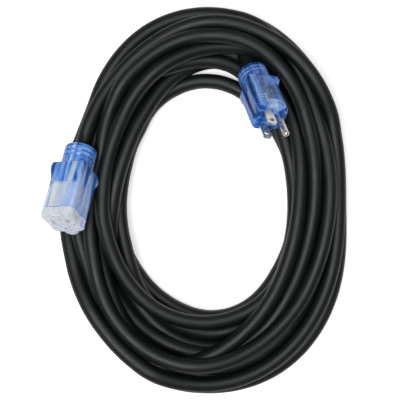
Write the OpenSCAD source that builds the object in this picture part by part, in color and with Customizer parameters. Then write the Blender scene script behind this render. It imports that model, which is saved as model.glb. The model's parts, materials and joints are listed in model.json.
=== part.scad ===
// Heavy duty power cord, 12/3 rubber cord with a moulded 5-15 plug and a moulded
// 5-15 connector, wound into an oval coil that lies flat on the floor.
// Each end is drawn in its own frame first: the mating face is the plane z = 0, +Z
// leaves the face, +Y runs from the blades to the earth pin, and the body runs
// back along -Z. end_pose() then lays the end on the coil.
// Units are millimetres. The origin is the middle of the whole part, on the floor.

/* [Cord] */
// Outside diameter of the rubber jacket
cord_d = 12; // [11.6:0.1:12.4]
// Diameter of one insulated conductor
conductor_d = 3.9; // [3.6:0.1:4.0]
// Diameter of the copper strands of one conductor
copper_d = 2.4; // [2:0.1:2.6]
// Thickness of the jacket's wall
jacket_wall = 1.5; // [1.3:0.05:1.6]
// Diameter of one filler string between the conductors
filler_d = 1.6; // [1.2:0.1:1.7]

/* [Coil] */
// Half of the coil's width along X, at the middle of its turns
coil_half_w = 86; // [80:1:96]
// Half of the coil's length along Y, at the middle of its turns
coil_half_l = 128; // [122:1:136]
// Radius of the coil's two ends, at the middle of its turns
coil_end_r = 72; // [64:1:76]
// Width of the bundle of turns
bundle_w = 57; // [50:1:62]
// Height of the bundle of turns
bundle_h = 35; // [34:1:40]

/* [Pins] */
// Distance between the middles of the two blades
blade_pitch = 12.7; // [12.6:0.05:12.8]
// Distance from the blades' line to the earth pin
earth_pitch = 11.9; // [11.8:0.05:12]
// Width of a blade
blade_w = 6.35; // [6.2:0.05:6.5]
// Thickness of a blade
blade_t = 1.52; // [1.4:0.02:1.6]
// Length of a blade in front of the face
blade_len = 17; // [16:0.1:18.2]
// Diameter of the hole near a blade's tip
blade_hole_d = 3.8; // [3:0.1:4.1]
// Distance of that hole from the face
blade_hole_z = 12; // [11:0.1:12.6]
// Diameter of the earth pin
earth_d = 4.76; // [4.7:0.02:4.8]
// Length of the earth pin in front of the face
earth_len = 20.6; // [20:0.1:21.4]

/* [Plug body] */
// Width of the plug's square body
plug_side = 25; // [24:0.5:27]
// Radius of the body's two long edges beside the blades
plug_corner_r = 4.5; // [4:0.25:6]
// Radius of its two long edges beside the earth pin
plug_earth_r = 8.5; // [6.5:0.25:9.5]
// Length of the body in front of the grip flange
plug_front_len = 27; // [26:0.5:32]
// Length of the grip flange
plug_flange_len = 9.5; // [9:0.5:13]
// Length of the round collar behind the flange
plug_collar_len = 15.5; // [15:0.5:20]
// Diameter of the collar
plug_collar_d = 24.5; // [23:0.5:27]
// Reach of the flange's four corners from the axis
plug_reach = 17.25; // [16:0.25:20]
// Place of the blades' line below the body's axis
plug_blade_drop = 5.2; // [4.6:0.1:5.6]
// Wall between the mating face and the blade carrier
plug_face_wall = 2.5; // [2:0.1:3]

/* [Connector body] */
// Width of the connector's square body
conn_side = 27; // [26.5:0.5:30]
// Radius of the body's long edges
conn_corner_r = 5; // [4:0.25:6.5]
// Length of the body in front of the grip flange, with the face cap
conn_front_len = 37; // [36.5:0.5:42]
// Length of the grip flange
conn_flange_len = 10; // [9:0.5:13]
// Length of the round collar behind the flange
conn_collar_len = 17; // [15:0.5:19]
// Diameter of the collar
conn_collar_d = 25.5; // [24:0.5:28]
// Reach of the flange's four corners from the axis
conn_reach = 19.75; // [18.5:0.25:22]
// Place of the slots' line below the body's axis
conn_blade_drop = 2.5; // [2:0.1:3]
// Width of the earth rib along one side of the body
rib_w = 12; // [9:0.25:13]
// Reach of the earth rib from the axis
rib_reach = 19; // [16.5:0.25:20]
// Thickness of the clear face cap
cap_t = 7; // [6:0.25:8]
// Diameter of the earth hole in the face cap
earth_hole_d = 5.3; // [5.2:0.05:5.5]
// Width of the slots in the face cap
slot_t = 2.1; // [2:0.05:2.4]
// Length of the line slot
line_slot_w = 7; // [6.8:0.1:7.4]
// Length of the neutral slot
neutral_slot_w = 8.6; // [8.2:0.1:8.8]
// Length of the contact carrier behind the cap
carrier_len = 25; // [24:0.5:27]

/* [Lie] */
// Tilt of the plug's nose above the floor, in degrees
plug_tilt = 43; // [36:1:46]
// Heading of the plug's nose in the floor plane, in degrees from +X
plug_heading = -73; // [-80:1:-66]
// Turn of the plug about its own axis, in degrees
plug_roll = -27; // [-45:1:-15]
// Tilt of the connector's nose above the floor, in degrees
conn_tilt = 28; // [22:1:34]
// Heading of the connector's nose in the floor plane, in degrees from +X
conn_heading = -100; // [-108:1:-94]
// Turn of the connector about its own axis, in degrees
conn_roll = -65; // [-75:1:-50]
// Clearance between the turns and a body that lies in them
lie_gap = 0.3; // [0.2:0.05:0.6]
// Clearance between moulded pieces and what they hold
fit_gap = 0.1; // [0.05:0.01:0.15]

/* [Hidden] */
$fn = 48;

jacket = "#1c1c1e";
clear_blue = "#3f6fd0";
pale_blue = "#a9c2ee";
clear = "#dfe6f2";
nickel = "#cfcac0";
brass = "#c9a85a";
copper = "#b8723c";
cream = "#efe9dc";

eps = 0.01;
circle_deg = 360;

// ---- the three conductors in the cord, seen along the cord's axis ----
conductor_turns = [-150, -30, 90];
conductor_lay_r = (conductor_d + 0.26) / sqrt(3);
jacket_bore_r = cord_d / 2 - jacket_wall;
filler_lay_r = jacket_bore_r - filler_d / 2 - fit_gap;

// ---- stations along the plug's axis, from the face backwards ----
plug_len = plug_front_len + plug_flange_len + plug_collar_len;
bridge_t = 6;
plug_bridge_z = -plug_face_wall - bridge_t;
tower_len = 9;
plug_tower_z = plug_bridge_z - tower_len;
barrel_len = 7;
barrel_d = 4.4;
barrel_bore_d = copper_d + 2 * fit_gap;
plug_barrel_z = plug_tower_z - barrel_len;
bare_len = 3;
shank_d = earth_d - 0.8;
plug_strip_z = plug_barrel_z - bare_len;
plug_jacket_z = -(plug_len - 12);

// ---- stations along the connector's axis ----
conn_len = conn_front_len + conn_flange_len + conn_collar_len;
carrier_z = -cap_t - carrier_len;
cover_t = 2.6;
cover_z = carrier_z - cover_t;
conn_barrel_z = cover_z - 1 - barrel_len;
conn_strip_z = conn_barrel_z - bare_len;
conn_jacket_z = -(conn_len - 9.5);

// ---- the strain relief sleeves round the jacket ----
sleeve_wall = 1.8;
sleeve_rib = 1.4;
sleeve_rib_t = 1.6;
sleeve_ribs = 3;

// ---- oval of the coil: two end arcs and two side arcs, tangent to each other ----
end_y = coil_half_l - coil_end_r;
side_r = (coil_half_w * coil_half_w + end_y * end_y - coil_end_r * coil_end_r)
    / (2 * (coil_half_w - coil_end_r));
side_x = side_r - coil_half_w;
join_angle = atan2(end_y, side_x);

// ---- where the ends lie, from the coil's own middle ----
plug_place = [coil_half_w - 44, coil_half_l - 44, bundle_h + 8];
conn_place = [-coil_half_w - 14.5, 19, bundle_h + 8];
plug_flange_z = -plug_front_len - plug_flange_len / 2;
conn_flange_z = -conn_front_len - conn_flange_len / 2;

// The whole part reaches furthest left at the connector's nose, so the coil lies
// that much to the right of the origin.
function heading(a, e) = [cos(e) * cos(a), cos(e) * sin(a), sin(e)];
function across(a, e, roll) = // the end's own +X direction, seen in the part's frame
    cos(roll) * [sin(e) * cos(a), sin(e) * sin(a), -cos(e)] + sin(roll) * [-sin(a), cos(a), 0];
function along(a, e, roll) = cross(heading(a, e), across(a, e, roll));
nose_offset = -conn_flange_z * heading(conn_heading, conn_tilt);
nose_corner = (conn_side / 2 - conn_corner_r)
    * (across(conn_heading, conn_tilt, conn_roll) - along(conn_heading, conn_tilt, conn_roll));
nose_left = min(conn_place[0] + nose_offset[0] + nose_corner[0],
    conn_place[0] + nose_offset[0] - nose_corner[0]) - conn_corner_r;
coil_x = -(nose_left + coil_half_w + bundle_w / 2) / 2;

// ---- routes of the two free stretches, from the coil's own middle ----
plug_exit = plug_place - (plug_len + plug_flange_z) * heading(plug_heading, plug_tilt);
plug_route = [[35.5, coil_half_l - 22.5, 22], [31.5, coil_half_l - 14, 16.5],
    [25, coil_half_l - 5, 13.5], [16, coil_half_l + 3, 13], [4, coil_half_l + 8, 14],
    [-9, coil_half_l + 9, 15.5]];
conn_exit = conn_place - (conn_len + conn_flange_z) * heading(conn_heading, conn_tilt);
conn_route = [[-95, 51, 26], [-91, 66, 22], [-83, 81, 21], [-72.5, 95, 23]];
tube_sides = 12;

// ---------------------------------------------------------------- helpers

// Square with rounded corners.
module rounded_square(w, h, r) {
    square([w - 2 * r, h], center = true);
    square([w, h - 2 * r], center = true);
    for (sx = [-1, 1], sy = [-1, 1])
        translate([sx * (w / 2 - r), sy * (h / 2 - r)]) circle(r);
}

// Four blunt corners that stand out of the body between its sides.
module corner_bars(reach, bar_w) {
    for (turn = [45, 135]) rotate(turn) {
        square([2 * reach - bar_w, bar_w], center = true);
        for (side = [-1, 1]) translate([side * (reach - bar_w / 2), 0]) circle(d = bar_w);
    }
}

// Round rod from a at height za to b at height zb, cut flat at both heights.
module slanted_rod(a, za, b, zb, d) {
    v = [b[0] - a[0], b[1] - a[1], zb - za];
    intersection() {
        translate([a[0], a[1], za])
            rotate([0, acos(v[2] / norm(v)), atan2(v[1], v[0])])
                translate([0, 0, -d]) rotate(50) cylinder(h = norm(v) + 2 * d, d = d);
        translate([-50, -50, min(za, zb)]) cube([100, 100, abs(zb - za)]);
    }
}

// Closed tube along a list of points, with its two ends square to the end stretches.
function unit(v) = v / norm(v);
function tangent(p, i) = unit(p[min(i + 1, len(p) - 1)] - p[max(i - 1, 0)]);
function hoop(c, t, r, first) =
    let (x = unit(cross([0, 0, 1], first ? t : t)), y = cross(t, x))
    [for (k = [0:tube_sides - 1]) let (a = circle_deg * k / tube_sides)
        c + r * (cos(a) * x + sin(a) * y)];
module tube(p, start_dir, d) {
    n = len(p);
    hoops = [for (i = [0:n - 1])
        each hoop(p[i], i == 0 ? start_dir : tangent(p, i), d / 2, i == 0)];
    sides = [for (i = [0:n - 2], k = [0:tube_sides - 1])
        let (m = (k + 1) % tube_sides, a = i * tube_sides, b = a + tube_sides)
        [a + k, b + k, b + m, a + m]];
    ends = [[for (k = [0:tube_sides - 1]) k],
        [for (k = [tube_sides - 1:-1:0]) (n - 1) * tube_sides + k]];
    polyhedron(points = hoops, faces = concat(sides, ends), convexity = 6);
}

// Lays an end on the coil. at is the middle of its grip flange.
module end_pose(at, flange_z, a, e, roll) {
    translate([coil_x, 0, 0]) translate(at)
        rotate([0, 0, a]) rotate([0, 90 - e, 0]) rotate([0, 0, roll])
            translate([0, 0, -flange_z]) children();
}
module plug_pose() {
    end_pose(plug_place, plug_flange_z, plug_heading, plug_tilt, plug_roll) children();
}
module conn_pose() {
    end_pose(conn_place, conn_flange_z, conn_heading, conn_tilt, conn_roll) children();
}

// Where line, neutral and earth sit behind a face, [x, y] each.
function plug_pins() = [[blade_pitch / 2, -plug_blade_drop], [-blade_pitch / 2, -plug_blade_drop],
    [0, earth_pitch - plug_blade_drop]];
function conn_pins() = [[-blade_pitch / 2, -conn_blade_drop], [blade_pitch / 2, -conn_blade_drop],
    [0, earth_pitch - conn_blade_drop]];
// Where the conductor for each of them leaves the jacket.
function lay_point(k) = conductor_lay_r * [cos(conductor_turns[k]), sin(conductor_turns[k])];
plug_lay = [1, 0, 2];
conn_lay = [0, 1, 2];

// ---------------------------------------------------------------- the coil

// Outline of the bundle: four turns side by side, three deep, [outwards, up] each.
lanes = 4;
rows = 3;
dip = 2.4;
ease = 3.4;
function bundle_outline() =
    let (w = bundle_w / 2, lane = bundle_w / lanes, row = bundle_h / rows, h = bundle_h)
    concat([[-w + ease, 0], [w - ease, 0]],
        [for (j = [0:rows - 1]) each [[w, j * row + ease], [w, (j + 1) * row - ease],
            if (j < rows - 1) [w - dip, (j + 1) * row]]],
        [for (i = [lanes - 1:-1:0]) each [[(i + 1) * lane - ease - w, h],
            [i * lane + ease - w, h], if (i > 0) [i * lane - w, h - dip]]],
        [for (j = [rows - 1:-1:0]) each [[-w, (j + 1) * row - ease], [-w, j * row + ease],
            if (j > 0) [dip - w, j * row]]]);

// Stations round the oval, [middle of the arc, its radius, angle] each.
arc_steps = 10;
function arc(c, r, from, sweep) =
    [for (i = [0:arc_steps - 1]) [c, r, from + sweep * i / arc_steps]];
function oval() = concat(arc([-side_x, 0], side_r, -join_angle, 2 * join_angle),
    arc([0, end_y], coil_end_r, join_angle, 180 - 2 * join_angle),
    arc([side_x, 0], side_r, 180 - join_angle, 2 * join_angle),
    arc([0, -end_y], coil_end_r, 180 + join_angle, 180 - 2 * join_angle));

module bundle() {
    outline = bundle_outline();
    m = len(outline);
    n = 4 * arc_steps;
    spots = [for (s = oval()) each [for (q = outline)
        [s[0][0] + (s[1] + q[0]) * cos(s[2]), s[0][1] + (s[1] + q[0]) * sin(s[2]), q[1]]]];
    skin = [for (i = [0:n - 1], k = [0:m - 1])
        let (a = i * m, b = ((i + 1) % n) * m, l = (k + 1) % m) [a + k, a + l, b + l, b + k]];
    polyhedron(points = spots, faces = skin, convexity = 8);
}

// Room for an end that lies in the turns.
module nest(reach, len) {
    translate([0, 0, -len]) cylinder(r = reach + lie_gap, h = len);
}

module cord_coil() {
    color(jacket) difference() {
        translate([coil_x, 0, 0]) bundle();
        plug_pose() nest(plug_reach, plug_len);
        conn_pose() nest(conn_reach, conn_len);
    }
}

module plug_lead() {
    color(jacket) translate([coil_x, 0, 0])
        tube(concat([plug_exit], plug_route), -heading(plug_heading, plug_tilt), cord_d);
}

module connector_lead() {
    color(jacket) translate([coil_x, 0, 0])
        tube(concat([conn_exit], conn_route), -heading(conn_heading, conn_tilt), cord_d);
}

// ---------------------------------------------------------------- shared by both ends

// Round collar with a soft rear rim and two grip grooves, from z = -len forwards.
module collar(d, len, total) {
    rim = 2.5;
    groove_r = 1.2;
    groove_in = 0.7;
    translate([0, 0, -total]) rotate_extrude() difference() {
        union() {
            square([d / 2 - rim, len]);
            translate([0, rim]) square([d / 2, len - rim]);
            translate([d / 2 - rim, rim]) circle(rim);
        }
        for (k = [1, 2])
            translate([d / 2 + groove_r - groove_in, rim + k * 3.4]) circle(groove_r);
        translate([-d, -eps]) square([d, len + d]);
    }
}

// Grip flange: the four corners, thinned towards the front by a cone.
module flange(side, r, reach, len, front_z) {
    slope = 1.2;
    intersection() {
        translate([0, 0, front_z - len]) linear_extrude(len) {
            rounded_square(side, side, r);
            corner_bars(reach, 2 * r);
        }
        translate([0, 0, front_z - len]) rotate_extrude(convexity = 4) polygon([[0, 0],
            [reach - slope, 0], [reach + eps, slope], [reach + eps, len * 0.55],
            [reach - len * 0.45, len], [0, len]]);
    }
}

module sleeve(z_front, z_back, grow) {
    len = z_front - z_back;
    body_r = cord_d / 2 + sleeve_wall;
    step = len / sleeve_ribs;
    translate([0, 0, z_back]) cylinder(r = body_r + grow, h = len);
    for (k = [0:sleeve_ribs - 1])
        translate([0, 0, z_back + (k + 0.5) * step - sleeve_rib_t / 2 - grow])
            cylinder(r = body_r + sleeve_rib + grow, h = sleeve_rib_t + 2 * grow);
}

module strain_relief(z_front, z_back) {
    color(clear) difference() {
        sleeve(z_front, z_back, 0);
        translate([0, 0, z_back - eps])
            cylinder(d = cord_d + 2 * fit_gap, h = z_front - z_back + 2 * eps);
    }
}

module jacket_end(z_front, z_back) {
    color(jacket) translate([0, 0, z_back]) difference() {
        cylinder(d = cord_d, h = z_front - z_back);
        translate([0, 0, -eps]) cylinder(r = jacket_bore_r, h = z_front - z_back + 2 * eps);
    }
}

module fillers(z_front, z_back) {
    color(cream) for (turn = conductor_turns)
        rotate(turn + 60) translate([filler_lay_r, 0, z_back])
            cylinder(d = filler_d, h = z_front - z_back);
}

// Insulated conductor k: straight in the jacket, slanted out to its pin. The slanted
// stretch is drawn a little thinner, as bent insulation is.
module conductor(k, pin, z_strip, z_jacket, z_back, grow) {
    lay = lay_point(k);
    slant = atan2(norm(pin - lay), z_strip - z_jacket);
    slanted_rod(lay, z_jacket, pin, z_strip, conductor_d * cos(slant) * 0.93 + 2 * grow);
    translate([lay[0], lay[1], z_back])
        cylinder(d = conductor_d + 2 * grow, h = z_jacket - z_back);
}

// Bare strands from the end of the insulation to the front of the crimp barrel.
module strands(pin, z_strip, grow) {
    translate([pin[0], pin[1], z_strip])
        cylinder(d = copper_d + 2 * grow, h = bare_len + barrel_len - 1);
}

// Rolled crimp barrel, closed at the front by its neck.
module barrel(pin, z_back) {
    translate([pin[0], pin[1], z_back]) difference() {
        cylinder(d = barrel_d, h = barrel_len);
        translate([0, 0, -eps]) cylinder(d = barrel_bore_d, h = barrel_len - 0.8);
    }
}

// ---------------------------------------------------------------- the plug

// Outline of the body, with rounder edges on its earth side.
module plug_outline(inset) {
    side = plug_side - 2 * inset;
    low_r = plug_corner_r - inset;
    high_r = plug_earth_r - inset;
    translate([-side / 2, low_r - side / 2]) square([side, side - low_r - high_r]);
    translate([low_r - side / 2, -side / 2]) square([side - 2 * low_r, side / 2]);
    square([side - 2 * high_r, side], center = true);
    for (sx = [-1, 1]) {
        translate([sx * (side / 2 - low_r), low_r - side / 2]) circle(low_r);
        translate([sx * (side / 2 - high_r), side / 2 - high_r]) circle(high_r);
    }
}

module plug_outside() {
    flute_r = 14;
    flute_in = 0.8;
    translate([0, 0, -plug_front_len]) linear_extrude(plug_front_len) difference() {
        plug_outline(0);
        for (turn = [0, 180, 270]) rotate(turn)
            translate([plug_side / 2 + flute_r - flute_in, 0]) circle(flute_r);
    }
    flange(plug_side, plug_corner_r, plug_reach, plug_flange_len, -plug_front_len);
    collar(plug_collar_d, plug_collar_len, plug_len);
}

core_margin = 2;
module plug_core(grow) { // room behind the face wall for carrier, crimps and conductors
    w = plug_side - 2 * core_margin;
    translate([0, 0, plug_strip_z - grow])
        linear_extrude(-plug_face_wall - plug_strip_z + grow) plug_outline(core_margin - grow);
    translate([0, 0, plug_jacket_z - grow])
        cylinder(d = w + 2 * grow - 2, h = plug_strip_z - plug_jacket_z + grow);
}

module blade_slots(grow) {
    for (k = [0, 1]) translate([plug_pins()[k][0], plug_pins()[k][1], plug_tower_z - 1])
        linear_extrude(2 - plug_tower_z) square([blade_t + 2 * grow, blade_w + 2 * grow], center = true);
}

module plug_overmould() {
    color(clear_blue, 0.6) difference() {
        plug_outside();
        plug_core(fit_gap);
        sleeve(plug_jacket_z, -plug_len - eps, fit_gap);
        intersection() {
            blade_slots(fit_gap);
            translate([-plug_side, -plug_side, -plug_face_wall - 1])
                cube([2 * plug_side, 2 * plug_side, plug_face_wall + 2]);
        }
        translate([plug_pins()[2][0], plug_pins()[2][1], -plug_face_wall - 1])
            cylinder(d = shank_d + 2 * fit_gap, h = plug_face_wall + 2);
    }
}

module plug_inner_mould() {
    color(clear) difference() {
        plug_core(0);
        translate([-plug_side, -plug_side, plug_bridge_z - fit_gap])
            cube([2 * plug_side, 2 * plug_side, 2 * bridge_t + fit_gap]);
        for (k = [0:2]) {
            pin = plug_pins()[k];
            conductor(plug_lay[k], pin, plug_strip_z, plug_jacket_z, plug_jacket_z - 1, fit_gap);
            strands(pin, plug_strip_z - eps, fit_gap);
            translate([pin[0], pin[1], plug_barrel_z - fit_gap])
                cylinder(d = barrel_d + 2 * fit_gap, h = barrel_len + fit_gap + eps);
            translate([pin[0], pin[1], plug_tower_z])
                linear_extrude(tower_len) tower_outline(k, fit_gap);
        }
    }
}

// Outline of the carrier's tower round the root of pin k.
module tower_outline(k, grow) {
    if (k < 2) square([blade_t + 3.4 + 2 * grow, blade_w + 1.8 + 2 * grow], center = true);
    else circle(d = earth_d + 2.4 + 2 * grow);
}

module blade_carrier() {
    rib_t = 1.1;
    rib_in = 0.5;
    color(cream) difference() {
        union() {
            translate([0, 0, plug_bridge_z]) linear_extrude(bridge_t - fit_gap)
                plug_outline(core_margin);
            for (k = [0:2]) translate([plug_pins()[k][0], plug_pins()[k][1], plug_tower_z]) {
                linear_extrude(tower_len) tower_outline(k, -rib_in);
                for (j = [0:3]) translate([0, 0, j * (tower_len - rib_t) / 3])
                    linear_extrude(rib_t) tower_outline(k, 0);
            }
        }
        blade_slots(fit_gap);
        translate([plug_pins()[2][0], plug_pins()[2][1], plug_tower_z - eps])
            cylinder(d = shank_d + 2 * fit_gap, h = tower_len + bridge_t + 2 * eps);
    }
}

module blade(pin) {
    tip = 1.6;
    color(nickel) {
        difference() {
            translate([pin[0], pin[1], plug_tower_z]) rotate([90, 0, 90])
                translate([0, 0, -blade_t / 2]) linear_extrude(blade_t)
                    polygon([[-blade_w / 2, 0], [blade_w / 2, 0],
                        [blade_w / 2, blade_len - plug_tower_z - tip],
                        [blade_w / 2 - tip, blade_len - plug_tower_z],
                        [-blade_w / 2 + tip, blade_len - plug_tower_z],
                        [-blade_w / 2, blade_len - plug_tower_z - tip]]);
            translate([pin[0], pin[1], blade_hole_z]) rotate([0, 90, 0])
                cylinder(d = blade_hole_d, h = 3 * blade_t, center = true);
        }
        barrel(pin, plug_barrel_z);
    }
}
module line_blade() { blade(plug_pins()[0]); }
module neutral_blade() { blade(plug_pins()[1]); }

module earth_pin() {
    pin = plug_pins()[2];
    color(nickel) {
        translate([pin[0], pin[1], fit_gap]) {
            cylinder(d = earth_d, h = earth_len - earth_d / 2 - fit_gap);
            translate([0, 0, earth_len - earth_d / 2 - fit_gap]) sphere(d = earth_d);
        }
        translate([pin[0], pin[1], plug_tower_z]) cylinder(d = shank_d, h = fit_gap - plug_tower_z + eps);
        barrel(pin, plug_barrel_z);
    }
}

module plug_conductor(k) {
    conductor(plug_lay[k], plug_pins()[k], plug_strip_z, plug_jacket_z, -plug_len, 0);
}
module plug_line_conductor() { color("#202020") plug_conductor(0); }
module plug_neutral_conductor() { color("#f2f2ee") plug_conductor(1); }
module plug_earth_conductor() { color("#2f8a4a") plug_conductor(2); }
module plug_copper_ends() { color(copper) for (k = [0:2]) strands(plug_pins()[k], plug_strip_z, 0); }
module plug_jacket_end() { jacket_end(plug_jacket_z, -plug_len); }
module plug_fillers() { fillers(plug_jacket_z, -plug_len); }
module plug_strain_relief() { strain_relief(plug_jacket_z - fit_gap, -plug_len); }

// ---------------------------------------------------------------- the connector

// Outline of the body with the earth rib on its +Y side.
module conn_outline(inset) {
    flute_r = 15;
    flute_in = 0.8;
    side = conn_side - 2 * inset;
    difference() {
        rounded_square(side, side, conn_corner_r - inset);
        for (turn = [0, 180, 270]) rotate(turn)
            translate([side / 2 + flute_r - flute_in, 0]) circle(flute_r);
    }
    rib_end = rib_reach - inset - (rib_w / 2 - inset);
    translate([-rib_w / 2 + inset, 0]) square([rib_w - 2 * inset, rib_end]);
    translate([0, rib_end]) circle(rib_w / 2 - inset);
}

module conn_outside() {
    translate([0, 0, -conn_front_len]) linear_extrude(conn_front_len - cap_t) conn_outline(0);
    flange(conn_side, conn_corner_r, conn_reach, conn_flange_len, -conn_front_len);
    collar(conn_collar_d, conn_collar_len, conn_len);
}

module conn_core(grow) { // room behind the cap for carrier, crimps, lamp and conductors
    w = conn_side - 2 * core_margin;
    translate([0, 0, cover_z - grow]) linear_extrude(-cap_t - cover_z + grow + eps)
        conn_outline(core_margin - grow);
    translate([0, 0, conn_strip_z - grow]) linear_extrude(cover_z - conn_strip_z + grow)
        rounded_square(w - 1 + 2 * grow, w - 1 + 2 * grow, conn_corner_r - core_margin + grow);
    translate([0, 0, conn_jacket_z - grow])
        cylinder(d = conn_collar_d - 5 + 2 * grow, h = conn_strip_z - conn_jacket_z + grow);
}

module connector_overmould() {
    color(pale_blue, 0.6) difference() {
        conn_outside();
        conn_core(fit_gap);
        sleeve(conn_jacket_z, -conn_len - eps, fit_gap);
    }
}

module face_holes() {
    translate([conn_pins()[0][0], conn_pins()[0][1], -cap_t - 1]) linear_extrude(cap_t + 2)
        square([slot_t, line_slot_w], center = true);
    translate([conn_pins()[1][0], conn_pins()[1][1], -cap_t - 1]) linear_extrude(cap_t + 2)
        square([slot_t, neutral_slot_w], center = true);
    translate([conn_pins()[2][0], conn_pins()[2][1], -cap_t - 1])
        cylinder(d = earth_hole_d, h = cap_t + 2);
}

module connector_face_cap() {
    lip = 1;
    color(clear, 0.6) difference() {
        union() {
            translate([0, 0, -cap_t]) linear_extrude(cap_t - lip) conn_outline(0);
            translate([0, 0, -lip]) linear_extrude(lip) conn_outline(lip);
        }
        face_holes();
    }
}

cell_t = 4.6;
cell_w = 9.6;
earth_cell_d = 7.4;
neck_hole_d = barrel_d + 0.6;
module contact_carrier() {
    floor_t = 2;
    color(cream) difference() {
        translate([0, 0, carrier_z]) linear_extrude(carrier_len) conn_outline(core_margin);
        for (k = [0, 1]) translate([conn_pins()[k][0], conn_pins()[k][1], carrier_z + floor_t])
            linear_extrude(carrier_len) square([cell_t, cell_w], center = true);
        translate([conn_pins()[2][0], conn_pins()[2][1], carrier_z + floor_t])
            cylinder(d = earth_cell_d, h = carrier_len);
        for (pin = conn_pins()) translate([pin[0], pin[1], carrier_z - 1])
            cylinder(d = neck_hole_d, h = carrier_len);
    }
}

module carrier_cover() {
    color(cream) difference() {
        translate([0, 0, cover_z]) linear_extrude(cover_t) conn_outline(core_margin);
        for (pin = conn_pins()) translate([pin[0], pin[1], cover_z - 1])
            cylinder(d = neck_hole_d, h = cover_t + 2);
    }
}

// Folded spring contact: two leaves that close on the blade, a back, a neck and a barrel.
leaf_t = 0.6;
leaf_gap = 1.3;
leaf_back = 2.6;
module leaf_contact(pin, width) {
    back_z = carrier_z + leaf_back;
    front_z = -cap_t - 1;
    color(brass) {
        translate([pin[0], pin[1], 0]) {
            for (side = [-1, 1])
                translate([side * (leaf_gap + leaf_t) / 2 - leaf_t / 2, -width / 2, back_z])
                    cube([leaf_t, width, front_z - back_z]);
            translate([-leaf_gap / 2 - leaf_t, -width / 2, back_z])
                cube([leaf_gap + 2 * leaf_t, width, leaf_t]);
            translate([0, 0, conn_barrel_z + barrel_len - eps])
                cylinder(d = 3, h = back_z + eps + leaf_t / 2 - conn_barrel_z - barrel_len);
        }
        barrel(pin, conn_barrel_z);
    }
}
module line_contact() { leaf_contact(conn_pins()[0], 6.6); }
module neutral_contact() { leaf_contact(conn_pins()[1], 8.2); }

module earth_contact() {
    pin = conn_pins()[2];
    back_z = carrier_z + leaf_back;
    wall = 0.7;
    bore_d = earth_d + 0.2;
    len = -cap_t - 1 - back_z;
    color(brass) {
        translate([pin[0], pin[1], back_z]) difference() {
            cylinder(d = bore_d + 2 * wall, h = len);
            translate([0, 0, wall]) cylinder(d = bore_d, h = len);
            translate([-0.4, 0, wall + 3]) cube([0.8, bore_d, len]);
        }
        translate([pin[0], pin[1], conn_barrel_z + barrel_len - eps])
            cylinder(d = 3, h = back_z + eps + wall / 2 - conn_barrel_z - barrel_len);
        barrel(pin, conn_barrel_z);
    }
}

module connector_conductor(k) {
    conductor(conn_lay[k], conn_pins()[k], conn_strip_z, conn_jacket_z, -conn_len, 0);
}
module connector_line_conductor() { color("#202020") connector_conductor(0); }
module connector_neutral_conductor() { color("#f2f2ee") connector_conductor(1); }
module connector_earth_conductor() { color("#2f8a4a") connector_conductor(2); }
module connector_copper_ends() {
    color(copper) for (k = [0:2]) strands(conn_pins()[k], conn_strip_z, 0);
}
module connector_jacket_end() { jacket_end(conn_jacket_z, -conn_len); }
module connector_fillers() { fillers(conn_jacket_z, -conn_len); }
module connector_strain_relief() { strain_relief(conn_jacket_z - fit_gap, -conn_len); }

// ---- power lamp between the line and neutral crimps ----
lamp_d = 4;
lamp_len = 7;
lamp_y = -conn_blade_drop - 6.4;
lamp_z = cover_z - 0.6 - lamp_len;
resistor_d = 2;
resistor_len = 5;
resistor_at = [4.6, lamp_y, lamp_z + 0.8];
lead_t = 0.6;
lead_z = lamp_z - 0.8;

module lamp_bulb() {
    wall = 0.4;
    color("#f2d9c2", 0.5) translate([0, lamp_y, lamp_z]) difference() {
        union() {
            cylinder(d = lamp_d, h = lamp_len - lamp_d / 2);
            translate([0, 0, lamp_len - lamp_d / 2]) sphere(d = lamp_d);
        }
        translate([0, 0, wall]) cylinder(d = lamp_d - 2 * wall, h = lamp_len - lamp_d / 2 - wall);
    }
}

module lamp_electrodes() {
    color(nickel) for (side = [-1, 1])
        translate([side * 0.8, lamp_y, lamp_z + 0.4]) cylinder(d = 0.7, h = 3.6);
}

module lamp_resistor() {
    color("#c8a878") translate(resistor_at) cylinder(d = resistor_d, h = resistor_len);
}

// Two flat wires behind the lamp: one to the line crimp, one through the resistor to neutral.
module wire_box(from, to) {
    low = [for (i = [0:2]) min(from[i], to[i]) - lead_t / 2];
    high = [for (i = [0:2]) max(from[i], to[i]) + lead_t / 2];
    translate(low) cube(high - low);
}
module lamp_leads() {
    foot_x = 0.8;
    crimp_y = -conn_blade_drop - barrel_d / 2 - lead_t / 2;
    line_x = conn_pins()[0][0];
    neutral_x = conn_pins()[1][0];
    foot_top = lamp_z - lead_t / 2;
    resistor_low = resistor_at[2] - lead_t / 2;
    resistor_high = resistor_at[2] + resistor_len + lead_t / 2;
    color(nickel) {
        wire_box([-foot_x, lamp_y, lead_z], [-foot_x, lamp_y, foot_top]);
        wire_box([line_x, lamp_y, lead_z], [-foot_x, lamp_y, lead_z]);
        wire_box([line_x, lamp_y, lead_z], [line_x, crimp_y, lead_z]);
        wire_box([foot_x, lamp_y, lead_z], [foot_x, lamp_y, foot_top]);
        wire_box([foot_x, lamp_y, lead_z], [resistor_at[0], lamp_y, lead_z]);
        wire_box([resistor_at[0], lamp_y, lead_z], [resistor_at[0], lamp_y, resistor_low]);
        wire_box([resistor_at[0], lamp_y, resistor_high], [neutral_x, lamp_y, resistor_high]);
        wire_box([neutral_x, lamp_y, resistor_high], [neutral_x, crimp_y, resistor_high]);
    }
}

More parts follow.
